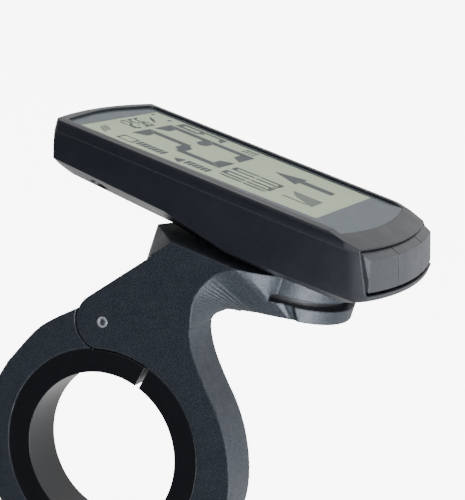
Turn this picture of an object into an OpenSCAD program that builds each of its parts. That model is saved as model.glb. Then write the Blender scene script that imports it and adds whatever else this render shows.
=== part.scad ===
// Cycling computer on a quarter-turn bracket with a hinged handlebar clamp.
// Millimetres. +X rider's right (along the handlebar), +Y forward, +Z up.
// Origin: centre of the handlebar bore. Modules are drawn about the computer's rim centre and
// moved by `org` at the end.

/* [Computer body] */
// width of the computer across its side walls
body_w = 46; // [45.5:0.1:47]
// wall thickness of the housings
wall = 1.6; // [1.4:0.1:1.7]
// height of the raised rim above the front glass
rim_h = 0.5; // [0.4:0.1:0.7]
// width of the raised rim along the sides
rim_w = 2.5; // [2.4:0.1:2.6]

/* [Keys] */
// how far a key can be pressed
key_travel = 0.5; // [0.3:0.05:0.5]
// gap between neighbouring keys
key_gap = 0.4; // [0.35:0.05:0.6]

/* [Twist lock] */
// radius of the round socket on the bracket
socket_r = 17.6; // [17.4:0.1:18]
// radius of the neck of the computer's twist-lock foot
foot_neck_r = 9.8; // [9:0.1:10]
// radius over the locking lugs
foot_lug_r = 12.6; // [12.2:0.1:12.7]

/* [Handlebar clamp] */
// handlebar diameter held by the clamp
bar_d = 35; // [34.6:0.1:35.2]
// width of the bracket arm and clamp along the handlebar
arm_w = 11; // [10.5:0.5:11]
// outside radius of the split shim sleeve
shim_r = 22.6; // [22.4:0.1:22.8]

/* [Hidden] */
$fn = 96;

hw = body_w / 2;
bore = [9.4, -64.5];          // handlebar axis (y, z)
arm_x = -24;                  // outer face of the arm
arm_in = arm_x + arm_w;       // inner face of the arm
org = [-(arm_x + arm_w / 2), -bore[0], -bore[1]];

seam_z = -2.6;                // joint between the two housings
belly_z = -14.2;              // underside of the computer
front_c = -96.5;              // centre of the far end's curve (y)
front_r = 140;
corner_r = 1.9;               // upright corners of the far end
chin_c = 62.7;                // centre of the key end's curve (y)
key_x = 8;                    // grooves between the keys
glass_z = -rim_h;
glass_t = 1.2;
lcd_z = glass_z - glass_t;
lcd_t = 1.6;
guide_z = lcd_z - lcd_t;
guide_t = 0.8;
carrier_z = guide_z - guide_t;
board_z = -6.2;
board_t = 0.9;
boss_xy = [[-17.3, 30], [17.3, 30], [-17.3, -20], [17.3, -20]];
switch_x = [-14.6, 0, 14.6];

twist_y = -9;                 // twist-lock axis (y), x = 0
top_z = -14.9;                // top of the bracket
plate_z = -20.4;              // floor of the socket
tongue_z = -23.4;             // underside of the socket plate
insert_r = 15.1;
collar_r = socket_r - 1.2;    // collar above the slot that shows the insert
lip_z = -16.7;                // underside of the insert's locking ledges
screw_a = [90, 210, 330];

pin = [17.5, -37.2];          // clamp hinge axis (y, z)
knuckle_r = 6.2;
pin_r = 1.2;
jaw_r = 28.6;
ear_w = 3.5;
split_a = 102;                // angle of the shim's upper split
low_split_a = -92;            // angle of its lower split
split_gap = 1;
bolt_d = 31;                  // bolt's distance below the bore
bolt_r = 2.5;

function arc(c, r, a0, a1, n) =
    [for (k = [0:n]) let (a = a0 + (a1 - a0) * k / n) [c[0] + r * cos(a), c[1] + r * sin(a)]];
// smooth curve through the points p, n steps between neighbours
function smooth(p, n) = [for (k = [0:len(p) - 2]) for (j = [0:n - 1]) let (
    t = j / n, b = p[k], c = p[k + 1],
    a = k > 0 ? p[k - 1] : 2 * b - c, d = k < len(p) - 2 ? p[k + 2] : 2 * c - b)
    b + t / 2 * (c - a + t * (2 * a - 5 * b + 4 * c - d + t * (3 * b - 3 * c + d - a))),
    p[len(p) - 1]];
function flip(p) = [for (k = [len(p) - 1:-1:0]) [-p[k][0], p[k][1]]];

// extrudes a (y, z) outline along X
module along_x(x0, x1) translate([x0, 0, 0]) rotate([90, 0, 90]) linear_extrude(x1 - x0) children();
module cyl_x(p, r, x0, x1) translate([x0, p[0], p[1]]) rotate([0, 90, 0]) cylinder(r = r, h = x1 - x0);
module cyl_y(x, z, r, y0, y1) translate([x, y1, z]) rotate([90, 0, 0]) cylinder(r = r, h = y1 - y0);
module box(lo, hi) translate(lo) cube([hi[0] - lo[0], hi[1] - lo[1], hi[2] - lo[2]]);
// everything on the outer side of the plane through p with normal n
module beyond(p, n)
    translate(p) rotate([0, acos(n[2] / norm(n)), atan2(n[1], n[0])])
        translate([-70, -70, 0]) cube([140, 140, 70]);

// ---- outer shape of the computer, moved inwards by i ----
module plan(i, z0, z1) {
    side = concat([[hw - i, -45]], arc([hw - corner_r, 39.7], corner_r - i, 0, 90, 5),
        [[hw - corner_r - 2, 42.1 - i]]);
    translate([0, 0, z0]) linear_extrude(z1 - z0) polygon(concat(side, [[0, 46]], flip(side)));
}
module front_end(i) translate([0, front_c, 0]) rotate_extrude($fn = 180)
    polygon([[0, 1], [front_r - 0.9 - i, 1], [front_r - 0.9 - i, 0], [front_r - 0.25 - i, -0.25],
        [front_r - i, -0.9], [front_r - 2.8 - i, -10.4], [front_r - 4 - i, -11.8],
        [front_r - 8 - i, belly_z - 1], [0, belly_z - 1]]);
// rounds the long upper edges
module shoulders(i) {
    half = [[hw - 0.9 - i, 1], [hw - 0.9 - i, 0], [hw - 0.25 - i, -0.25], [hw - i, -0.9], [hw - i, -20]];
    translate([0, 60, 0]) rotate([90, 0, 0]) linear_extrude(120) polygon(concat(half, flip(half)));
}
module key_end(i) translate([0, chin_c, 0]) rotate_extrude($fn = 180)
    polygon([[0, 1], [chin_c + 23.6 - i, 1], [chin_c + 25.1 - i, 0], [chin_c + 27.5 - i, glass_z],
        [chin_c + 32.6 - i, -1.75], [chin_c + 33 - i, -2.3], [chin_c + 34.9 - i, -3],
        [chin_c + 36.9 - i, -9.5], [chin_c + 37.3 - i, -10], [chin_c + 37.2 - i, -11.1],
        [chin_c + 31 - i, belly_z], [chin_c + 30 - i, belly_z - 1], [0, belly_z - 1]]);
// slanted flanks of the underside; the lower edge of the walls drops towards the keys
module belly(i) intersection() {
    union() {
        flanks(i, 38.2, -8.4, 2.9);
        flanks(i, 7.6, -10.5, 10.5);
    }
    flanks(i, -26.5, -12, -1.6);
}
// the lower edge of the walls passes through (y, z) and drops towards the keys
module flanks(i, y, z, slope) {
    half = [[26, 1.45 + 1.1 * i], [14.6, -4.05 + 1.1 * i], [11, -4.3 + i]];
    translate([0, y, z]) rotate([90 + slope, 0, 0]) translate([0, 0, -90]) linear_extrude(180)
        polygon(concat([[26, 20]], half, flip(half), [[-26, 20]]));
}
module computer_shape(i, z0, z1) difference() {
    intersection() {
        plan(i, z0, z1);
        shoulders(i);
        front_end(i);
        key_end(i);
        belly(i);
    }
    for (s = [-1, 1]) {
        n = [0.921 * s, -0.349, 0.174];
        beyond([s * hw, -26.5, -1] - i * n, n);
    }
}
// room behind the keys, cut into both housings
module key_room() {
    r = chin_c + 34.2 - 1.6 * key_travel;
    intersection() {
        difference() {
            box([-21.7, -40, -10], [21.7, -26, -2.05]);
            translate([0, chin_c, 0]) rotate_extrude($fn = 180)
                polygon([[0, 0], [r - 3.6, 0], [r - 3.1, -3], [r, -10.5], [0, -10.5]]);
        }
        translate([0, chin_c, 0]) cylinder(r = chin_c + 45, h = 60, center = true, $fn = 180);
    }
}

// ---- computer ----
module top_housing() color("#1b1f26") translate(org) difference() {
    computer_shape(0, seam_z, 0);
    difference() {
        window(rim_w, glass_z - glass_t, 1);
        // closes the window at the key end, along the chin's curve
        translate([0, chin_c, 0]) difference() {
            cylinder(r = 150, h = 20, center = true, $fn = 180);
            cylinder(r = chin_c + 27.45, h = 30, center = true, $fn = 180);
        }
    }
    window_box(3.9, -22, 38.2, seam_z - 1, 0);
    box([-19.6, -21, seam_z - 1], [19.6, 38.7, lcd_z]);
    key_room();
}
module window(m, z0, z1) {
    side = concat([[hw - m, -40]], arc([hw - m - 1.5, 38.5], 1.5, 0, 90, 4), [[hw - m - 4, 40.3]]);
    intersection() {
        translate([0, 0, z0]) linear_extrude(z1 - z0) polygon(concat(side, [[0, 42]], flip(side)));
        translate([0, front_c, 0]) cylinder(r = front_r - 1.9, h = 60, center = true, $fn = 180);
    }
}
module window_box(m, y0, y1, z0, z1) box([-hw + m, y0, z0], [hw - m, y1, z1]);
module front_glass() color("#8a929a", 0.5) translate(org) intersection() {
    window(rim_w + 0.05, lcd_z, glass_z);
    translate([0, chin_c, 0]) cylinder(r = chin_c + 27.4, h = 30, center = true, $fn = 180);
}
module lcd_panel() color("#bcc2aa") translate(org) box([-19.3, -20.6, guide_z], [19.3, 38.4, lcd_z]);
module backlight_guide() color("#e8ebee") translate(org)
    box([-19, -17.4, carrier_z], [19, 38, guide_z]);
module inner_carrier() color("#2a2c30") translate(org) difference() {
    union() {
        box([-20.1, -26, carrier_z - 1], [20.1, 37.4, carrier_z]);
        for (p = boss_xy) translate([p[0], p[1], board_z]) cylinder(r = 2.4, h = carrier_z - board_z);
    }
    box([-13, -14, carrier_z - 2], [13, 26, carrier_z + 1]);
    box([-14.4, -20.2, carrier_z - 2], [14.4, -17.8, carrier_z + 1]);
    for (p = boss_xy) translate([p[0], p[1], board_z - 1]) cylinder(r = 0.9, h = 3);
}
module contact_strip() color("#d7a24a") translate(org)
    box([-14, -20, board_z], [14, -18, guide_z]);
module main_board() color("#1f5a3a") translate(org) difference() {
    box([-19.4, -26.4, board_z - board_t], [19.4, 36.8, board_z]);
    // notch for the charging socket
    box([-4.3, 30.2, board_z - 2], [4.3, 40, board_z + 1]);
    for (p = boss_xy) translate([p[0], p[1], board_z - 2]) cylinder(r = 1.25, h = 4);
}
module shield_can() color("#b9bec4") translate(org) difference() {
    box([-9, 18.5, board_z - board_t - 1.6], [4, 29.5, board_z - board_t]);
    box([-8.7, 18.8, board_z - board_t - 1.3], [3.7, 29.2, board_z - board_t + 1]);
}
module buzzer() color("#15171a") translate(org) difference() {
    translate([9.8, 23.5, board_z - board_t - 1.8]) cylinder(r = 4.2, h = 1.8);
    translate([9.8, 23.5, board_z - board_t - 2.8]) cylinder(r = 0.8, h = 1.6);
}
module usb_socket() color("#c4c8cd") translate(org) difference() {
    box([-4.1, 30.4, board_z - 3.1], [4.1, 36.4, board_z - 0.1]);
    box([-3.7, 31.1, board_z - 2.7], [3.7, 37, board_z - 0.5]);
}
module tact_switches() color("#c8ccd0") translate(org) for (x = switch_x) {
    box([x - 1.9, -26.2, board_z - board_t - 2.6], [x + 1.9, -23.4, board_z - board_t]);
    cyl_y(x, board_z - board_t - 1.3, 0.9, -27, -26.2);
}
module battery_cell() color("#c9ccd1") translate(org)
    box([-14, -17, belly_z + wall + 1], [14, 14, board_z - board_t - 0.3]);
module foam_pad() color("#3c4046") translate(org)
    box([-12, -15, belly_z + wall], [12, 8, belly_z + wall + 1]);
module seal_path(i0, i1, z0, z1) difference() {
    computer_shape(i0, z0, z1);
    intersection() {
        computer_shape(i1, z0 - 1, z1 + 1);
        seal_end(i1 + 27.6);
    }
    difference() {
        box([-40, -60, -20], [40, -10, 5]);
        seal_end(i0 + 28.9);
    }
}
module seal_end(r) translate([0, chin_c, 0]) cylinder(r = chin_c + r, h = 60, center = true, $fn = 180);
module housing_seal() color("#0f1012") translate(org) seal_path(0.6, 1.2, seam_z - 0.7, seam_z);
module cavity() difference() {
    computer_shape(wall, belly_z + wall, 2);
    difference() {
        box([-40, -60, -30], [40, -20, 5]);
        translate([0, chin_c, 0]) rotate_extrude($fn = 180)
            polygon([[0, 3], [chin_c + 28.2, 3], [chin_c + 28.2, -3.4], [chin_c + 31.6, -10.5],
                [chin_c + 31.6, -20], [0, -20]]);
    }
}
module at_port() translate([0, front_c + front_r - 3.7, -10.2]) rotate([-16.4, 0, 0]) children();
module bottom_housing() color("#1b1f26") translate(org) difference() {
    union() {
        difference() {
            computer_shape(0, belly_z, seam_z);
            cavity();
        }
        intersection() {
            computer_shape(0.4, belly_z, -5.2);
            union() {
                at_port() box([-9, -3.1, -3], [9, 1, 6.4]);
                for (p = boss_xy) translate([p[0], p[1], -16])
                    cylinder(r = 2.9, h = board_z - board_t + 16);
            }
        }
    }
    seal_path(0.6, 1.2, seam_z - 0.7, seam_z + 1);
    key_room();
    for (x = switch_x) cyl_y(x, board_z - board_t - 1.3, 1.8, -36, -26);
    for (p = boss_xy) translate([p[0], p[1], -20]) {
        cylinder(r = 1.15, h = 18);
        cylinder(r = 2.1, h = 11);
    }
    at_port() {
        box([-7, -0.95, -1.6], [7, 4, 5.6]);
        box([-4.6, -6, 0.9], [4.6, 2, 4.9]);
        cyl_x([0, 0], 0.42, -8.4, 8.4);
    }
}
module housing_screws() color("#9aa0a6") translate(org) for (p = boss_xy) difference() {
    union() {
        translate([p[0], p[1], -10.2]) cylinder(r = 1.9, h = 1.2);
        translate([p[0], p[1], -9]) cylinder(r = 0.9, h = 3.8);
    }
    translate([p[0], p[1], -11]) cylinder(r = 0.8, h = 1.5, $fn = 6);
}
module bayonet_foot() color("#15171a") translate(org) translate([0, twist_y, 0]) difference() {
    union() {
        translate([0, 0, belly_z - 0.5]) cylinder(r = 14.2, h = 0.5);
        translate([0, 0, lip_z - 1.85]) cylinder(r = foot_neck_r, h = belly_z - lip_z + 1.85);
        intersection() {
            translate([0, 0, lip_z - 1.85]) cylinder(r = foot_lug_r, h = 1.6);
            for (s = [0, 180]) rotate([0, 0, s]) translate([0, 0, -25]) linear_extrude(20)
                polygon([[0, 0], [20, -11.5], [20, 11.5]]);
        }
    }
    translate([0, 0, lip_z - 3]) cylinder(r = 6.5, h = 3.6);
}

// ---- keys ----
module key_band() intersection() {
    translate([0, chin_c, 0]) rotate_extrude($fn = 180)
        polygon([[chin_c + 32.75, -2.4], [chin_c + 34.9, -3.1], [chin_c + 36.9, -9.4],
            [chin_c + 35.3, -9.4], [chin_c + 33.6, -4.4], [chin_c + 31.6, -3.2], [chin_c + 31.6, -2.4]]);
    box([-21.35, -40, -12], [21.35, -25, 0]);
    difference() {
        box([-30, -45, -12], [30, -20, 0]);
        for (s = [-1, 1]) beyond([s * 21.3, -30.9, -2.2], [0.801 * s, -0.513, 0.307]);
    }
}
module key(x0, x1, xs) color("#2c3036") translate(org) union() {
    intersection() {
        key_band();
        box([x0, -45, -12], [x1, -20, 0]);
    }
    cyl_y(xs, board_z - board_t - 1.3, 1.4, -34.6, -27.6);
}
module left_key() key(-30, -key_x - key_gap / 2, switch_x[0]);
module centre_key() key(-key_x + key_gap / 2, key_x - key_gap / 2, switch_x[1]);
module right_key() key(key_x + key_gap / 2, 30, switch_x[2]);

// ---- charging port cover ----
module port_cover() color("#101113") translate(org) at_port() difference() {
    union() {
        box([-6.4, -0.55, 0], [6.4, 1.1, 5]);
        cyl_x([0, 0], 0.6, -6.4, 6.4);
        box([-4.1, -1.9, 1.4], [4.1, -0.55, 4.1]);
    }
    cyl_x([0, 0], 0.48, -7, 7);
}
module cover_pin() color("#9aa0a6") translate(org) at_port() cyl_x([0, 0], 0.42, -8.4, 8.4);

// ---- bracket ----
// plan of the socket plate with a collar of radius r
module tongue_plan(r) polygon(concat(arc([0, twist_y], r, 200, 425, 60),
    [[2, 9.6], [-8, 9.6], [arm_x, 7.9], [arm_x, -7.3], [arm_x + 2.1, -10], [arm_x + 5.6, -13.2]]));
// rear profile of the arm and the clamp behind the handlebar
rear = smooth([[-1.8, -30.5], [-2.6, -33], [-5, -36.9], [-9, -41.4], [-12.6, -45], [-16, -49.4],
    [-19.1, -55.3], [-21.1, -61.8], [-21.3, -68.4], [-19.3, -75.6], [-14.6, -82.6], [-8, -87.8]], 3);
// the hook's rear surface runs between its edge on the arm's outer face ...
hook_a = concat(
    [for (q = smooth([[-1.8, -30.5], [-1, -27.2], [-0.8, -24], [-1.7, -20.8], [-3.9, -17.3],
        [-7.3, top_z]], 4)) [arm_x, q[0], q[1]]],
    [[arm_x + 0.9, -8.46, top_z], [arm_x + 2.1, -10, top_z], [arm_x + 5.6, -13.2, top_z], [arm_x + 7.4, -16, top_z]]);
// ... and its lower edge, from the arm's inner face to the collar
hook_b = smooth([[arm_in, -1.8, -30.5], [arm_in, -2.4, -29], [arm_in, -4.4, -27.2],
    [arm_in - 0.7, -7.5, -26], [arm_in - 1.6, -11.6, -24.7], [arm_in - 1.2, -15.6, -23.9],
    [arm_in - 0.2, -19.4, -23.4]], 4);
module hollow() {
    m = len(hook_a);
    n = m - 1;
    out = [0, -60, -34];      // the cut runs away to the rear
    a = [for (k = [0:n]) hook_a[k] + 0.05 * (hook_a[k] - hook_b[k])];
    b = [for (k = [0:n]) hook_b[k] + 0.1 * (hook_b[k] - hook_a[k])];
    polyhedron(concat(a, b, [for (q = a) q + out], [for (q = b) q + out]), concat(
        [[0, 2 * m, 3 * m, m], [n, m + n, 3 * m + n, 2 * m + n]],
        [for (k = [0:n - 1]) each [[k, m + k, m + k + 1], [k, m + k + 1, k + 1],
            [2 * m + k, 3 * m + k + 1, 3 * m + k], [2 * m + k, 2 * m + k + 1, 3 * m + k + 1],
            [k, k + 1, 2 * m + k + 1, 2 * m + k], [m + k, 3 * m + k, 3 * m + k + 1, m + k + 1]]]));
}
// the side of the handlebar that belongs to the jaw, from the lower gap g up to angle a
module jaw_side(g, a) along_x(arm_x - 1, arm_in + 1) polygon([bore, bore + 60 * [cos(a), sin(a)],
    [bore[0] + 60, bore[1] + 30], [bore[0] + 60, bore[1] - 60], [bore[0] + g, bore[1] - 60],
    [bore[0] + g, bore[1]]]);
module lip_slice(x, outline) along_x(x, x + 0.01) polygon(outline);
module bracket_arm() color("#2a2d31") translate(org) difference() {
    union() {
        cyl_x(pin, knuckle_r, arm_x, arm_in);
        // arm, rear half of the clamp and rear half of the bolt lug
        along_x(arm_x, arm_in) polygon(concat([[7.45, top_z], pin + knuckle_r * [0.778, 0.628], pin,
            [15.8, -43.6], [bore[0] - 0.8, -50], [bore[0] - 0.8, bore[1] - 36.5],
            [bore[0] - 9, bore[1] - 36.5], [bore[0] - 14, bore[1] - 27]],
            [for (k = [len(rear) - 1:-1:0]) rear[k]], [[-7.3, -29], [-7.3, top_z]]));
        translate([0, 0, plate_z]) linear_extrude(top_z - plate_z) tongue_plan(collar_r);
        translate([0, 0, tongue_z]) linear_extrude(plate_z - tongue_z) tongue_plan(socket_r);
        // thickened root under the socket plate
        intersection() {
            translate([0, 0, -32]) linear_extrude(15) tongue_plan(socket_r);
            translate([0, 20, 0]) rotate([90, 0, 0]) linear_extrude(60)
                polygon([[arm_x, tongue_z + 1], [arm_x, -30], [arm_in, -29.2], [-2, tongue_z],
                    [-2, tongue_z + 1]]);
        }
        // front lip that stiffens the plate
        hull() {
            lip_slice(arm_x, [[0, top_z], [7.6, top_z], [11.4, -19.4], [0, -22]]);
            lip_slice(arm_x + 8, [[0, top_z], [15, top_z], [15.2, -23.6], [6, -25], [0, -25]]);
        }
        hull() {
            lip_slice(arm_x + 8, [[5, top_z], [15, top_z], [15.2, -23.6], [6, -25], [5, -25]]);
            lip_slice(3, [[5, top_z], [11.5, top_z], [11, -19], [5, -23]]);
        }
    }
    hollow();
    // underside of the plate and of its root beyond the arm's inner face
    box([arm_x - 1, -45, -45], [30, -19.4, tongue_z]);
    along_x(arm_in - 1.7, arm_in + 0.1)
        polygon([[-45, -23.4], [-19.4, -23.4], [-11.6, -24.7], [-7.5, -26], [-7.5, -33], [-45, -33]]);
    along_x(arm_in, 30) polygon([[-45, -23.4], [-19.4, -23.4], [-11.6, -24.7], [-4.4, -27.2],
        [-2.4, -29], [-2.4, -45], [-45, -45]]);
    // handlebar and shim
    cyl_x(bore, shim_r, arm_x - 1, arm_in + 1);
    // slot for the jaw's knuckle
    cyl_x(pin, knuckle_r + 0.5, arm_x + ear_w, arm_in - ear_w);
    cyl_x(pin, pin_r, arm_x - 1, arm_in + 1);
    // socket for the insert
    translate([0, twist_y, plate_z]) cylinder(r = insert_r, h = 20);
    translate([0, twist_y, tongue_z - 8]) cylinder(r = 6.5, h = 20);
    for (a = screw_a) translate([11.2 * cos(a), twist_y + 11.2 * sin(a), 0]) {
        translate([0, 0, -40]) cylinder(r = 1.3, h = 30);
        translate([0, 0, -40]) cylinder(r = 2.3, h = 40 + tongue_z + 1.2);
    }
    // slot in the collar that shows the insert
    translate([0, twist_y, plate_z]) intersection() {
        linear_extrude(1.3) polygon(concat(arc([0, 0], 12, 196, 288, 8), arc([0, 0], 40, 288, 196, 8)));
        difference() {
            cylinder(r = 40, h = 9, center = true);
            cylinder(r = 13, h = 9, center = true);
        }
    }
    // bolt
    cyl_y(arm_x + arm_w / 2, bore[1] - bolt_d, bolt_r + 0.05, -30, 30);
    cyl_y(arm_x + arm_w / 2, bore[1] - bolt_d, 4.6, -30, bore[0] - 7);
}
module socket_insert() color("#0c0d0f") translate(org) translate([0, twist_y, 0]) difference() {
    translate([0, 0, plate_z]) cylinder(r = insert_r, h = top_z - plate_z);
    translate([0, 0, plate_z + 1]) cylinder(r = foot_lug_r + 0.4, h = lip_z - plate_z - 1);
    translate([0, 0, plate_z - 1]) cylinder(r = foot_neck_r + 0.4, h = 10);
    intersection() {
        translate([0, 0, lip_z - 1]) cylinder(r = foot_lug_r + 0.4, h = 10);
        for (s = [90, 270]) rotate([0, 0, s]) translate([0, 0, -25]) linear_extrude(20)
            polygon([[0, 0], [20, -13.6], [20, 13.6]]);
    }
    for (a = screw_a) rotate([0, 0, a]) translate([11.2, 0, plate_z - 1]) cylinder(r = 0.9, h = 1.6);
}
module insert_screws() color("#8d9298") translate(org) translate([0, twist_y, 0])
    for (a = screw_a) rotate([0, 0, a]) translate([11.2, 0, 0]) difference() {
        union() {
            translate([0, 0, tongue_z - 0.2]) cylinder(r = 2, h = 1.4);
            translate([0, 0, tongue_z + 1.2]) cylinder(r = 0.9, h = plate_z + 0.6 - tongue_z - 1.2);
        }
        translate([0, 0, tongue_z - 1]) cylinder(r = 0.8, h = 1.5, $fn = 6);
    }
module shim(a0, a1) color("#16181b") translate(org) difference() {
    cyl_x(bore, shim_r, arm_x, arm_in);
    cyl_x(bore, bar_d / 2, arm_x - 1, arm_in + 1);
    // keeps the sector a0 to a1, less half the split gap at each end
    along_x(arm_x - 1, arm_in + 1) translate(bore) {
        polygon(concat([[0, 0]], arc([0, 0], 60, a1, a0 + 360, 24)));
        for (a = [a0, a1]) rotate(a) translate([0, -split_gap / 2]) square([40, split_gap]);
    }
}
module rear_shim() shim(split_a, low_split_a + 360);
// the front half also reaches under the arm, clear of it
module front_shim() difference() {
    shim(low_split_a, split_a);
    color("#16181b") translate(org) along_x(arm_x - 1, arm_in + 1) translate(bore)
        polygon(concat(arc([0, 0], shim_r - 0.35, 68, 110, 12), arc([0, 0], 40, 110, 68, 4)));
}
module hinge_pin() color("#aeb4ba") translate(org) difference() {
    cyl_x(pin, pin_r, arm_x - 0.1, arm_in + 0.1);
    translate([arm_x - 1, pin[0], pin[1]]) rotate([0, 90, 0]) cylinder(r = 0.8, h = 2.5, $fn = 6);
}
module clamp_bolt() color("#8d9298") translate(org) difference() {
    union() {
        cyl_y(arm_x + arm_w / 2, bore[1] - bolt_d, bolt_r, bore[0] - 8, bore[0] + 13.4);
        cyl_y(arm_x + arm_w / 2, bore[1] - bolt_d, 4.2, bore[0] - 13, bore[0] - 8);
    }
    translate([arm_x + arm_w / 2, bore[0] - 10, bore[1] - bolt_d]) rotate([90, 0, 0])
        cylinder(r = 2.3, h = 4, $fn = 6);
}
module bolt_washer() color("#aeb4ba") translate(org) difference() {
    cyl_y(arm_x + arm_w / 2, bore[1] - bolt_d, 4.5, bore[0] - 8, bore[0] - 7);
    cyl_y(arm_x + arm_w / 2, bore[1] - bolt_d, bolt_r, bore[0] - 9, bore[0] - 6);
}

// ---- clamp jaw ----
module clamp_jaw() color("#24272b") translate(org) difference() {
    union() {
        difference() {
            jaw_ring(arm_x, arm_in);
            cyl_x(pin, knuckle_r + 0.4, arm_x - 1, arm_in + 1);
        }
        jaw_ring(arm_x + ear_w + 0.3, arm_in - ear_w - 0.3);
        cyl_x(pin, knuckle_r - 0.3, arm_x + ear_w + 0.3, arm_in - ear_w - 0.3);
        along_x(arm_x, arm_in) polygon([[bore[0] + 0.8, bore[1] - 24], [bore[0] + 18, bore[1] - 21.5],
            [bore[0] + 13, bore[1] - 36.5], [bore[0] + 0.8, bore[1] - 36.5]]);
    }
    cyl_x(bore, shim_r, arm_x - 1, arm_in + 1);
    cyl_x(pin, pin_r + 0.05, arm_x - 1, arm_in + 1);
    cyl_y(arm_x + arm_w / 2, bore[1] - bolt_d, bolt_r + 0.7, 0, 50);
    cyl_x([bore[0] + 8, bore[1] - bolt_d], 3.9, arm_x - 1, arm_in + 1);
}
// the jaw thickens towards its hinge
module jaw_ring(x0, x1) intersection() {
    union() {
        cyl_x(bore, jaw_r, x0, x1);
        along_x(x0, x1) polygon(concat([bore, [15, -40]],
            smooth([[23.6, -36.3], [28.8, -41.3], [32.1, -45.6], [36.5, -55]], 3)));
    }
    jaw_side(0.8, 70);
}
module barrel_nut() color("#9aa0a6") translate(org) difference() {
    cyl_x([bore[0] + 8, bore[1] - bolt_d], 3.9, arm_x + 0.3, arm_in - 0.3);
    cyl_y(arm_x + arm_w / 2, bore[1] - bolt_d, bolt_r + 0.4, 0, 50);
}

top_housing();
front_glass();
lcd_panel();
backlight_guide();
inner_carrier();
contact_strip();
main_board();
shield_can();
buzzer();
usb_socket();
tact_switches();
battery_cell();
foam_pad();
housing_seal();
bottom_housing();
housing_screws();
bayonet_foot();
left_key();
centre_key();
right_key();
port_cover();
cover_pin();
bracket_arm();
socket_insert();
insert_screws();
rear_shim();
hinge_pin();
clamp_bolt();
bolt_washer();
clamp_jaw();
front_shim();
barrel_nut();
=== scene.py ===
"""Looks for the cycling computer on its twist-lock bracket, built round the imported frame."""

import math

import bmesh
import bpy
from mathutils import Matrix, Vector


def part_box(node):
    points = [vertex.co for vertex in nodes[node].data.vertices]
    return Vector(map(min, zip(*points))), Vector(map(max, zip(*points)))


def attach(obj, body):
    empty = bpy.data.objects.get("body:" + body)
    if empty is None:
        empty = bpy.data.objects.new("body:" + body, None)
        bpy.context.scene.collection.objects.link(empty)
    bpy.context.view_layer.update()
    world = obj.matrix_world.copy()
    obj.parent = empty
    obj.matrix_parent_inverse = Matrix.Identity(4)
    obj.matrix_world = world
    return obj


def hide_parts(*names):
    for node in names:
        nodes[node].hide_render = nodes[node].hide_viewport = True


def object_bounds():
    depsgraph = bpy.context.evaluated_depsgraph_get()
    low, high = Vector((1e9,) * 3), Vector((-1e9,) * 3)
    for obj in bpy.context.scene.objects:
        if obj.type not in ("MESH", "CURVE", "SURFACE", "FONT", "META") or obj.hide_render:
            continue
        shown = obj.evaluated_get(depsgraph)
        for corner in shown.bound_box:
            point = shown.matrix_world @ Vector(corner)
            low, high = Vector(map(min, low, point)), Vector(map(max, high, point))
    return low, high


MM = 0.001
PANEL_FAR_Y = 38.4  # far edge of the display panel, from the computer's centre

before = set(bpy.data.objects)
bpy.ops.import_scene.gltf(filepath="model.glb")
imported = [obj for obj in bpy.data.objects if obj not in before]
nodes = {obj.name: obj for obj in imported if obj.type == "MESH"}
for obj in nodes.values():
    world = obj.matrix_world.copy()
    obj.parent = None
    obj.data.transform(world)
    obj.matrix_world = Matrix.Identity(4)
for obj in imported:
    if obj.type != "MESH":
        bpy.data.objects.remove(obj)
cad_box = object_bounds()

# The computer's own centre: on its centre line, at the rim's top, as the part's source draws it.
rim_low, rim_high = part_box("top_housing")
panel_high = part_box("lcd_panel")[1]
HOME = Vector(((rim_low.x + rim_high.x) / 2, panel_high.y - PANEL_FAR_Y * MM, rim_high.z))
HALF_W = (rim_high.x - rim_low.x) / 2 / MM


def at(x, y, z):
    """A point of the computer's own frame, in mm, as a row point in metres."""
    return HOME + Vector((x, y, z)) * MM


# ---------------------------------------------------------------- mesh helpers
def new_object(name, bm, body, material):
    """Turns bm into an object that rides on body."""
    mesh = bpy.data.meshes.new(name)
    bmesh.ops.recalc_face_normals(bm, faces=bm.faces)
    bm.to_mesh(mesh)
    bm.free()
    obj = bpy.data.objects.new(name, mesh)
    bpy.context.scene.collection.objects.link(obj)
    mesh.materials.append(material)
    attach(obj, body)
    return obj


def arc(cx, cy, r, a0, a1, n):
    """n + 1 points of an arc, angles in degrees."""
    turns = [math.radians(a0 + (a1 - a0) * k / n) for k in range(n + 1)]
    return [(cx + r * math.cos(a), cy + r * math.sin(a)) for a in turns]


def add_loop_faces(bm, low, top):
    """Joins two closed loops of vertices with a wall."""
    for k in range(len(low)):
        n = (k + 1) % len(low)
        bm.faces.new((low[k], low[n], top[n], top[k]))


def add_prism(bm, outline, z0, z1):
    """An upright prism on an outline in the computer's frame, in mm."""
    low = [bm.verts.new(at(x, y, z0)) for x, y in outline]
    top = [bm.verts.new(at(x, y, z1)) for x, y in outline]
    bm.faces.new(low[::-1])
    bm.faces.new(top)
    add_loop_faces(bm, low, top)


# ---------------------------------------------------------------- materials
def add_node(tree, kind, values=None, **settings):
    """Adds a shader node: values sets its sockets, settings its own properties."""
    node = tree.nodes.new(kind)
    for key, value in settings.items():
        setattr(node, key, value)
    for key, value in (values or {}).items():
        node.inputs[key].default_value = value
    return node


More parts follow.
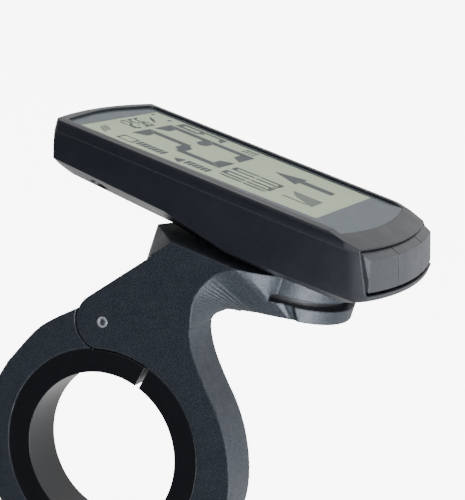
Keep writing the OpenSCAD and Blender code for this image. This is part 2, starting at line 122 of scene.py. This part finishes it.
class Material:
    """A node material with a Principled shader and object coordinates in metres."""

    edge = 0  # radius in mm of the rounding that the shading gives to edges

    def __init__(self, name, color, rough, **sockets):
        self.mat = bpy.data.materials.new(name)
        self.mat.use_nodes = True
        self.tree = self.mat.node_tree
        self.shader = self.tree.nodes["Principled BSDF"]
        self.shader.inputs["Base Color"].default_value = (*color, 1)
        self.shader.inputs["Roughness"].default_value = rough
        for key, value in sockets.items():
            self.shader.inputs[key.replace("_", " ")].default_value = value
        self.color = color
        self.rough = rough
        self.coords = add_node(self.tree, "ShaderNodeTexCoord").outputs["Object"]

    def link(self, a, b):
        self.tree.links.new(a, b)

    def noise(self, scale, detail=3, rough=0.55):
        sockets = {"Scale": scale, "Detail": detail, "Roughness": rough}
        n = add_node(self.tree, "ShaderNodeTexNoise", sockets)
        self.link(self.coords, n.inputs["Vector"])
        return n.outputs["Fac"]

    def range(self, value, lo, hi, from_lo=0.3, from_hi=0.7):
        """Spreads the middle of a noise over lo to hi."""
        sockets = {"From Min": from_lo, "From Max": from_hi, "To Min": lo, "To Max": hi}
        m = add_node(self.tree, "ShaderNodeMapRange", sockets)
        self.link(value, m.inputs["Value"])
        return m.outputs["Result"]

    def blend(self, fac, dark, light):
        """Base colour between dark times itself and light times itself."""
        mix = add_node(self.tree, "ShaderNodeMix", data_type="RGBA")
        mix.inputs[6].default_value = (*[c * dark for c in self.color], 1)
        mix.inputs[7].default_value = (*[min(1, c * light) for c in self.color], 1)
        self.link(fac, mix.inputs[0])
        self.link(mix.outputs[2], self.shader.inputs["Base Color"])
        return self

    def mottle(self, scale, amount, detail=3):
        """Varies the base colour about itself by amount."""
        return self.blend(self.range(self.noise(scale, detail), 0, 1), 1 - amount, 1 + amount)

    def uneven(self, scale, amount):
        """Varies the roughness about itself by amount."""
        value = self.range(self.noise(scale, 4), self.rough - amount, self.rough + amount)
        self.link(value, self.shader.inputs["Roughness"])
        return self

    def grain(self, scale, height, detail=2):
        """Fine relief of the given height in mm, on edges that are rounded first."""
        bump = add_node(self.tree, "ShaderNodeBump", {"Strength": 1, "Distance": height * MM})
        self.link(self.noise(scale, detail), bump.inputs["Height"])
        if self.edge:
            rounded = add_node(self.tree, "ShaderNodeBevel", {"Radius": self.edge * MM}, samples=4)
            self.link(rounded.outputs["Normal"], bump.inputs["Normal"])
        self.link(bump.outputs["Normal"], self.shader.inputs["Normal"])
        return self


def plastic(name, color, rough, grain=0.006, scale=5500, mottle=0.12, edge=0):
    m = Material(name, color, rough, IOR=1.5)
    m.edge = edge
    return m.mottle(900, mottle).uneven(160, 0.05).grain(scale, grain).mat


def metal(name, color, rough, grain=0.004, scale=6000, metallic=1.0):
    m = Material(name, color, rough, Metallic=metallic)
    m.edge = 0.2
    return m.mottle(1500, 0.12).uneven(300, 0.06).grain(scale, grain).mat


def blasted(name, color, rough):
    """Bead-blasted and anodised aluminium: a fine sparkle over a dark ground."""
    m = Material(name, color, rough, Metallic=0.3, IOR=1.5)
    m.edge = 0.6
    speck = m.range(m.noise(3800, 2, 0.7), 0, 1, 0.42, 0.68)
    return m.blend(speck, 0.62, 2.4).uneven(420, 0.07).grain(3800, 0.03, detail=3).mat


def circuit_board(name, color, rough):
    """Solder mask with a blotchy copper pattern below it."""
    m = Material(name, color, rough)
    return m.mottle(2600, 0.45, 1).uneven(500, 0.08).grain(2600, 0.01).mat


BODY = plastic("body_plastic", (0.0080, 0.0100, 0.0145), 0.36, edge=0.3)
KEY = plastic("key_plastic", (0.028, 0.031, 0.036), 0.40, edge=0.25)
BLACK = plastic("black_plastic", (0.006, 0.006, 0.007), 0.45, grain=0.01, scale=3500)
SHIM = plastic("shim_plastic", (0.004, 0.0045, 0.006), 0.22, grain=0.002, edge=0.3)
RUBBER = plastic("black_rubber", (0.008, 0.008, 0.009), 0.7, grain=0.01, scale=4200)
CARRIER = plastic("carrier", (0.04, 0.042, 0.046), 0.5)
BUZZER = plastic("buzzer_plastic", (0.01, 0.01, 0.012), 0.4)
GUIDE = plastic("light_guide", (0.75, 0.78, 0.8), 0.3, mottle=0.04)
FOAM = plastic("foam", (0.05, 0.052, 0.058), 0.9, grain=0.08, scale=2200, mottle=0.3)
ANODISED = blasted("anodised", (0.018, 0.022, 0.029), 0.42)
STEEL = metal("steel", (0.45, 0.46, 0.48), 0.3)
PIN = metal("pin_steel", (0.34, 0.36, 0.40), 0.35, metallic=0.5)
TIN = metal("tin", (0.6, 0.61, 0.63), 0.28)
GOLD = metal("gold", (0.62, 0.42, 0.16), 0.3)
FOIL = metal("foil", (0.62, 0.63, 0.65), 0.35, grain=0.05, scale=700)
BOARD = circuit_board("board", (0.02, 0.12, 0.06), 0.35)
BORDER = plastic("border_print", (0.10, 0.112, 0.122), 0.4, grain=0.001, mottle=0.05)
INK = plastic("lcd_ink", (0.016, 0.017, 0.015), 0.5, grain=0.001, mottle=0.06)
GREY_INK = plastic("lcd_grey_ink", (0.15, 0.16, 0.12), 0.5, grain=0.001, mottle=0.06)

LOOKS = {
    BODY: ["top_housing", "bottom_housing"],
    GUIDE: ["front_glass", "lcd_panel", "backlight_guide"],
    CARRIER: ["inner_carrier"],
    GOLD: ["contact_strip"],
    BOARD: ["main_board"],
    TIN: ["shield_can", "usb_socket", "tact_switches"],
    BUZZER: ["buzzer"],
    FOIL: ["battery_cell"],
    FOAM: ["foam_pad"],
    RUBBER: ["housing_seal", "port_cover"],
    BLACK: ["bayonet_foot", "socket_insert"],
    KEY: ["left_key", "centre_key", "right_key"],
    ANODISED: ["bracket_arm", "clamp_jaw"],
    SHIM: ["rear_shim", "front_shim"],
    PIN: ["hinge_pin"],
    STEEL: ["housing_screws", "cover_pin", "insert_screws", "clamp_bolt", "bolt_washer", "barrel_nut"],
}
for material, names in LOOKS.items():
    for name in names:
        nodes[name].data.materials.clear()
        nodes[name].data.materials.append(material)

# ---------------------------------------------------------------- front glass
NEAR_Y, NEAR_R = 62.7, 90.1  # the glass's near end is an arc about (0, NEAR_Y)
FAR_Y, FAR_R = -96.5, 138.05  # and its far end one about (0, FAR_Y)
SIDE_RIM = 2.55  # from the housing's widest point to the glass
CORNER_Y, CORNER_R = 38.4, 1.5  # centre and radius of the far corners
GLASS_TOP = -0.5  # the glass's top, below the rim
GLASS_T = 0.05


def glass_outline(inset):
    """The glass's edge, moved inwards by inset mm."""
    half = HALF_W - SIDE_RIM - inset
    corner_x = half - CORNER_R
    near = math.degrees(math.asin(half / NEAR_R))
    far = math.degrees(math.asin(corner_x / FAR_R))
    points = arc(0, NEAR_Y, NEAR_R - inset, 270 - near, 270 + near, 24)
    points += arc(corner_x, CORNER_Y - inset, CORNER_R, 0, 80, 6)
    points += arc(0, FAR_Y, FAR_R - inset, 90 - far, 90 + far, 24)
    points += arc(-corner_x, CORNER_Y - inset, CORNER_R, 100, 180, 6)
    return points


def clear_glass():
    """A thin coat of gloss over what lies below it. Its inner faces stay clear."""
    mat = bpy.data.materials.new("glass")
    mat.use_nodes = True
    t = mat.node_tree
    t.nodes.clear()
    out = add_node(t, "ShaderNodeOutputMaterial")
    clear = add_node(t, "ShaderNodeBsdfTransparent", {"Color": (0.95, 0.97, 0.97, 1)})
    gloss = add_node(t, "ShaderNodeBsdfGlossy", {"Color": (0.34, 0.36, 0.39, 1)})
    coords = add_node(t, "ShaderNodeTexCoord")
    smears = add_node(t, "ShaderNodeTexNoise", {"Scale": 240})
    rough = add_node(t, "ShaderNodeMapRange", {"To Min": 0.05, "To Max": 0.12})
    fresnel = add_node(t, "ShaderNodeFresnel", {"IOR": 1.5})
    side = add_node(t, "ShaderNodeNewGeometry")
    outside = add_node(t, "ShaderNodeMixShader")
    both = add_node(t, "ShaderNodeMixShader")
    t.links.new(coords.outputs["Object"], smears.inputs["Vector"])
    t.links.new(smears.outputs["Fac"], rough.inputs["Value"])
    t.links.new(rough.outputs["Result"], gloss.inputs["Roughness"])
    t.links.new(fresnel.outputs["Fac"], outside.inputs["Fac"])
    t.links.new(clear.outputs["BSDF"], outside.inputs[1])
    t.links.new(gloss.outputs["BSDF"], outside.inputs[2])
    t.links.new(side.outputs["Backfacing"], both.inputs["Fac"])
    t.links.new(outside.outputs["Shader"], both.inputs[1])
    t.links.new(clear.outputs["BSDF"], both.inputs[2])
    t.links.new(both.outputs["Shader"], out.inputs["Surface"])
    return mat


bm = bmesh.new()
add_prism(bm, glass_outline(0), GLASS_TOP - GLASS_T, GLASS_TOP)
glass = new_object("clear_glass", bm, "computer", clear_glass())
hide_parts("front_glass")

# ---------------------------------------------------------------- printed border
WINDOW = (-18.9, -17.9, 18.9, 37.6)  # x0, y0, x1, y1 of the visible display
x0, y0, x1, y1 = WINDOW
MID_X, MID_Y = (x0 + x1) / 2, (y0 + y1) / 2
BORDER_Z = (GLASS_TOP - 0.13, GLASS_TOP - 0.07)


def turn(point):
    """The direction of a point from the window's middle."""
    return math.atan2(point[1] - MID_Y, point[0] - MID_X)


def window_point(x, y):
    """The point of the window's edge that lies between its middle and (x, y)."""
    dx, dy = x - MID_X, y - MID_Y
    t = 1 / max(abs(dx) / ((x1 - x0) / 2), abs(dy) / ((y1 - y0) / 2))
    return MID_X + dx * t, MID_Y + dy * t


def with_corners(points):
    """The outline with an extra point in line with each corner of the window."""
    extra = []
    for corner in ((x0, y0), (x1, y0), (x1, y1), (x0, y1)):
        for k, a in enumerate(points):
            b = points[(k + 1) % len(points)]
            if turn(a) < turn(corner) < turn(b):
                dx, dy = corner[0] - MID_X, corner[1] - MID_Y
                sx, sy = b[0] - a[0], b[1] - a[1]
                t = ((a[1] - MID_Y) * dx - (a[0] - MID_X) * dy) / (sx * dy - sy * dx)
                extra.append((a[0] + sx * t, a[1] + sy * t))
    return sorted(points + extra, key=turn)


outer = with_corners(glass_outline(0.05))
inner = [window_point(*p) for p in outer]
bm = bmesh.new()
low_out, low_in, top_out, top_in = [
    [bm.verts.new(at(x, y, z)) for x, y in outline] for z in BORDER_Z for outline in (outer, inner)
]
add_loop_faces(bm, top_out, top_in)
add_loop_faces(bm, low_in, low_out)
add_loop_faces(bm, low_out, top_out)
add_loop_faces(bm, top_in, low_in)
border = new_object("border_print", bm, "computer", BORDER)

# ---------------------------------------------------------------- display
LCD_LAP = 0.4  # the display reaches this far under the border
LCD_Z = (GLASS_TOP - 0.6, GLASS_TOP - 0.2)
INK_Z = (GLASS_TOP - 0.18, GLASS_TOP - 0.15)

LCD = Material("lcd_face", (0.60, 0.66, 0.43), 0.45, IOR=1.45)
LCD.mottle(70, 0.03).grain(9000, 0.001)
left, near, right, far = x0 - LCD_LAP, y0 - LCD_LAP, x1 + LCD_LAP, y1 + LCD_LAP
bm = bmesh.new()
add_prism(bm, [(left, near), (right, near), (right, far), (left, far)], *LCD_Z)
lcd = new_object("lcd_face", bm, "computer", LCD.mat)


class Figures:
    """Dark shapes on the display. Positions run from its far left corner, in mm, y towards the keys."""

    GAP = 0.12  # between the segments of a figure
    LIT = {
        "0": "abcdef",
        "1": "bc",
        "2": "abged",
        "3": "abgcd",
        "5": "afgcd",
        "6": "afgedc",
        "9": "abcdfg",
    }
    # segments that are a mirrored copy of another: its name, left to right, top to bottom
    COPIES = {
        "b": ("f", True, False),
        "c": ("f", True, True),
        "d": ("a", False, True),
        "e": ("f", False, True),
    }

    def __init__(self):
        self.bm = bmesh.new()

    def shape(self, points):
        add_prism(self.bm, [(x0 + px, y1 - py) for px, py in points][::-1], *INK_Z)

    def bar(self, ax, ay, bx, by, w):
        """A line from a to b of width w, with its ends cut to points."""
        a, b = Vector((ax, ay)), Vector((bx, by))
        along = (b - a).normalized() * w / 2
        across = Vector((-along.y, along.x))
        points = [a, a + along + across, b - along + across, b, b - along - across, a + along - across]
        self.shape([(p.x, p.y) for p in points])

    def box(self, ax, ay, bx, by):
        self.shape([(ax, ay), (ax, by), (bx, by), (bx, ay)])

    def frame(self, ax, ay, bx, by, w):
        self.box(ax, ay, bx, ay + w)
        self.box(ax, by - w, bx, by)
        self.box(ax, ay + w, ax + w, by - w)
        self.box(bx - w, ay + w, bx, by - w)

    def digit(self, value, px, py, w, h, t):
        """A seven-segment figure with its far left corner at (px, py)."""
        middle, n, g = h / 2, t / 2, self.GAP
        outlines = {
            "a": [(g, 0), (w - g, 0), (w - g - t, t), (g + t, t)],
            "f": [(0, g), (t, t + g), (t, middle - n - g), (n, middle - g), (0, middle - g)],
            "g": [
                (n + g, middle),
                (t + g, middle - n),
                (w - t - g, middle - n),
                (w - n - g, middle),
                (w - t - g, middle + n),
                (t + g, middle + n),
            ],
        }
        for segment in self.LIT[value]:
            source, mirror_x, mirror_y = self.COPIES.get(segment, (segment, False, False))
            points = [(w - x if mirror_x else x, h - y if mirror_y else y) for x, y in outlines[source]]
            if mirror_x != mirror_y:
                points.reverse()
            self.shape([(px + x, py + y) for x, y in points])

    def done(self, name, material):
        obj = new_object(name, self.bm, "computer", material)


ink = Figures()
# top row: a reception sign, the time, small signs
for k in range(3):
    ink.bar(3.6 + 1.5 * k, 4.7 - 0.2 * k, 5.8 + 1.3 * k, 2.2 - 0.2 * k, 0.5)
for value, px in zip("1256", (14.2, 16.7, 20.3, 23.0)):
    ink.digit(value, px, 1.1, 2.3, 4.9, 0.62)
ink.box(19.4, 2.3, 19.9, 2.8)
ink.box(19.4, 4.3, 19.9, 4.8)
for k in range(3):
    ink.bar(27.3 + 0.9 * k, 4.9 - 0.5 * k, 29.0 + 0.8 * k, 2.7 - 0.5 * k, 0.35)
ink.box(33.3, 0.6, 35.2, 1.1)
ink.box(33.3, 4.9, 35.2, 5.4)
# speed: two large figures and a small one, with a small sign nearer the keys
ink.digit("2", 11.2, 7.2, 9.0, 21.7, 2.6)
ink.digit("3", 22.2, 7.2, 9.0, 21.7, 2.6)
ink.digit("9", 32.4, 7.8, 4.4, 11.6, 1.25)
for k in range(4):
    ink.box(32.4, 24.8 + 0.85 * k, 34.8, 25.15 + 0.85 * k)
ink.frame(35.3, 24.8, 36.4, 27.8, 0.35)
# gauges at the left
ink.frame(3.1, 7.6, 7.3, 11.5, 0.45)
for k in range(7):
    ink.box(3.7, 12.0 + 0.97 * k, 7.2, 12.7 + 0.97 * k)
ink.shape([(2.9, 22.6), (4.9, 20.9), (6.9, 22.6), (6.9, 23.0), (2.9, 23.0)])
for k in range(6):
    ink.box(3.9, 23.6 + 0.97 * k, 7.4, 24.3 + 0.97 * k)
# lower left: three narrow figures
ink.digit("1", 4.6, 30.4, 3.2, 11.6, 0.9)
ink.digit("0", 9.0, 30.4, 3.4, 11.6, 0.9)
ink.box(12.9, 41.0, 13.7, 42.0)
ink.digit("0", 14.4, 30.4, 3.4, 11.6, 0.9)
# arrow
ink.shape([(26.8, 35.9), (22.9, 42.4), (25.6, 42.4), (25.6, 50.1), (28.6, 50.1), (28.6, 42.4), (30.6, 42.4)])
ink.done("lcd_figures", INK)

# slope sign
grey = Figures()
grey.shape([(16.6, 44.6), (17.2, 44.6), (17.2, 51.5), (13.4, 51.5), (10.1, 51.5), (13.7, 46.2)])
grey.box(10.0, 44.6, 10.8, 50.4)
grey.done("lcd_grey_figures", GREY_INK)

# ---------------------------------------------------------------- parts soldered to the board
BOARD_TOP = (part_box("main_board")[1].z - HOME.z) / MM
SOLDER = 0.02  # gap between the board and a part's underside


def chips(name, material, places):
    """Low blocks with chamfered tops on the board: (x, y, length, width, height) each."""
    bm = bmesh.new()
    for x, y, length, width, height in places:
        rings = []
        for inset, z in ((0, 0), (0, height * 0.6), (height * 0.3, height)):
            a, b = length / 2 - inset, width / 2 - inset
            corners = [(x - a, y - b), (x + a, y - b), (x + a, y + b), (x - a, y + b)]
            rings.append([bm.verts.new(at(px, py, BOARD_TOP + SOLDER + z)) for px, py in corners])
        bm.faces.new(rings[0][::-1])
        bm.faces.new(rings[2])
        add_loop_faces(bm, rings[0], rings[1])
        add_loop_faces(bm, rings[1], rings[2])
    new_object(name, bm, "computer", material)


packages = [
    (-4, 8, 7, 7, 0.8),
    (5.5, 10, 5, 4, 0.7),
    (6, 1, 4, 4, 0.7),
    (-6, -3, 3, 3, 0.6),
    (1, -9, 3.2, 2.4, 0.6),
]
far_row = [(1.5 + 1.3 * k, 15 + 0.9 * (k % 2), 0.9, 0.5, 0.4) for k in range(7)]
side_row = [(-10, 1.2 * k, 0.5, 0.9, 0.4) for k in range(-3, 8)]
crystal = [(9.5, -6, 2.4, 1.4, 0.6)]
chips("board_chips", BUZZER, packages)
chips("board_passives", TIN, far_row + side_row + crystal)

# ---------------------------------------------------------------- shading of the CAD nodes
WELD_GAP = 0.001  # mm
SHARP = {"bracket_arm": 36}  # smallest angle in degrees that stays a sharp edge
SHARP_DEFAULT = 30

for name, obj in nodes.items():
    mesh = obj.data
    if "custom_normal" in mesh.attributes:
        mesh.attributes.remove(mesh.attributes["custom_normal"])
    mesh.shade_smooth()
    obj.modifiers.new("joined_faces", "WELD").merge_threshold = WELD_GAP * MM
    split = obj.modifiers.new("sharp_edges", "EDGE_SPLIT")
    split.split_angle = math.radians(SHARP.get(name, SHARP_DEFAULT))
    if name == "bracket_arm":
        obj.modifiers.new("even_shading", "WEIGHTED_NORMAL").mode = "FACE_AREA_WITH_ANGLE"


# ---------------------------------------------------------------- stage
FLOOR_DROP = 12  # mm below the part
FLOOR_HALF = 40  # half the floor's side, in metres
FLOOR_GLOW = 7.0


def floor_material():
    """A pale floor with a glow of its own, so that it reads as a white background."""
    glow = {"Emission_Color": (1, 1, 1, 1), "Emission_Strength": FLOOR_GLOW}
    return Material("floor", (0.90, 0.90, 0.90), 0.8, **glow).mottle(300, 0.01).grain(300, 0.02).mat


bm = bmesh.new()
bmesh.ops.create_grid(bm, x_segments=1, y_segments=1, size=FLOOR_HALF)
mesh = bpy.data.meshes.new("floor")
bm.to_mesh(mesh)
bm.free()
mesh.materials.append(floor_material())
floor = bpy.data.objects.new("floor", mesh)
floor.location = (0, 0, cad_box[0].z - FLOOR_DROP * MM)
bpy.context.scene.collection.objects.link(floor)
floor.visible_glossy = False
floor.visible_diffuse = False
floor.visible_shadow = False

# ---------------------------------------------------------------- light
AIM = at(0, 0, -20)
WHITE = (1, 1, 1)
COOL = (0.92, 0.96, 1.0)
PALE = (0.95, 0.98, 1.0)


def area_light(name, place, size, power, color):
    """A square lamp of the given side in metres, aimed at the computer."""
    data = bpy.data.lights.new(name, "AREA")
    data.shape = "SQUARE"
    data.size = size
    data.energy = power
    data.color = color
    obj = bpy.data.objects.new(name, data)
    obj.location = place
    obj.rotation_mode = "QUATERNION"
    obj.rotation_quaternion = (AIM - Vector(place)).to_track_quat("-Z", "Y")
    bpy.context.scene.collection.objects.link(obj)


area_light("overhead", (0.15, 0.15, 0.75), 0.70, 4.0, WHITE)
area_light("rear_left", (-0.25, -0.62, 0.02), 0.40, 9.0, COOL)
area_light("rear_low", (-0.09, -0.54, -0.32), 0.30, 3.5, COOL)
area_light("column", (-0.554, -0.245, 0.10), 0.15, 0.2, PALE)
area_light("left_high", (-0.55, 0.02, 0.42), 0.20, 0.3, PALE)

DARK_SIDE = Vector((-0.907, 0.38, -0.20)).normalized()
DARK_COS = (0.55, 0.90)  # cosines from DARK_SIDE at which the dark patch begins and is full
WORLD_LIGHT, WORLD_DARK = 1.1, 0.12


def studio_world():
    """Even light with a soft dark patch on one side, behind a white that only the camera sees."""
    world = bpy.data.worlds.new("studio")
    bpy.context.scene.world = world
    world.use_nodes = True
    t = world.node_tree
    t.nodes.clear()
    out = add_node(t, "ShaderNodeOutputWorld")
    mix = add_node(t, "ShaderNodeMixShader")
    path = add_node(t, "ShaderNodeLightPath")
    seen = add_node(t, "ShaderNodeBackground", {"Color": (1, 1, 1, 1), "Strength": 1.0})
    lit = add_node(t, "ShaderNodeBackground")
    coords = add_node(t, "ShaderNodeTexCoord")
    dot = add_node(t, "ShaderNodeVectorMath", {1: DARK_SIDE}, operation="DOT_PRODUCT")
    sockets = {"From Min": DARK_COS[0], "From Max": DARK_COS[1]}
    sockets |= {"To Min": WORLD_LIGHT, "To Max": WORLD_DARK}
    fade = add_node(t, "ShaderNodeMapRange", sockets, interpolation_type="SMOOTHSTEP")
    t.links.new(coords.outputs["Generated"], dot.inputs[0])
    t.links.new(dot.outputs["Value"], fade.inputs["Value"])
    t.links.new(fade.outputs["Result"], lit.inputs["Strength"])
    t.links.new(path.outputs["Is Camera Ray"], mix.inputs["Fac"])
    t.links.new(lit.outputs["Background"], mix.inputs[1])
    t.links.new(seen.outputs["Background"], mix.inputs[2])
    t.links.new(mix.outputs["Shader"], out.inputs["Surface"])


studio_world()

# ---------------------------------------------------------------- camera
CAM_AT = at(-327.7, -112.5, 81.0)
FORWARD = Vector((0.90665, 0.31940, -0.27562)).normalized()
DOWN = Vector((-0.14846, -0.36998, -0.91710))
RIGHT = FORWARD.cross(-DOWN).normalized()
UP = RIGHT.cross(FORWARD).normalized()

cam_data = bpy.data.cameras.new("camera")
cam_data.lens = 119.1
cam_data.sensor_width = 36
cam_data.clip_start = 0.01
cam_data.clip_end = 100
camera = bpy.data.objects.new("camera", cam_data)
turned = Matrix((RIGHT, UP, -FORWARD)).transposed()
camera.matrix_world = Matrix.Translation(CAM_AT) @ turned.to_4x4()
bpy.context.scene.collection.objects.link(camera)
bpy.context.scene.camera = camera
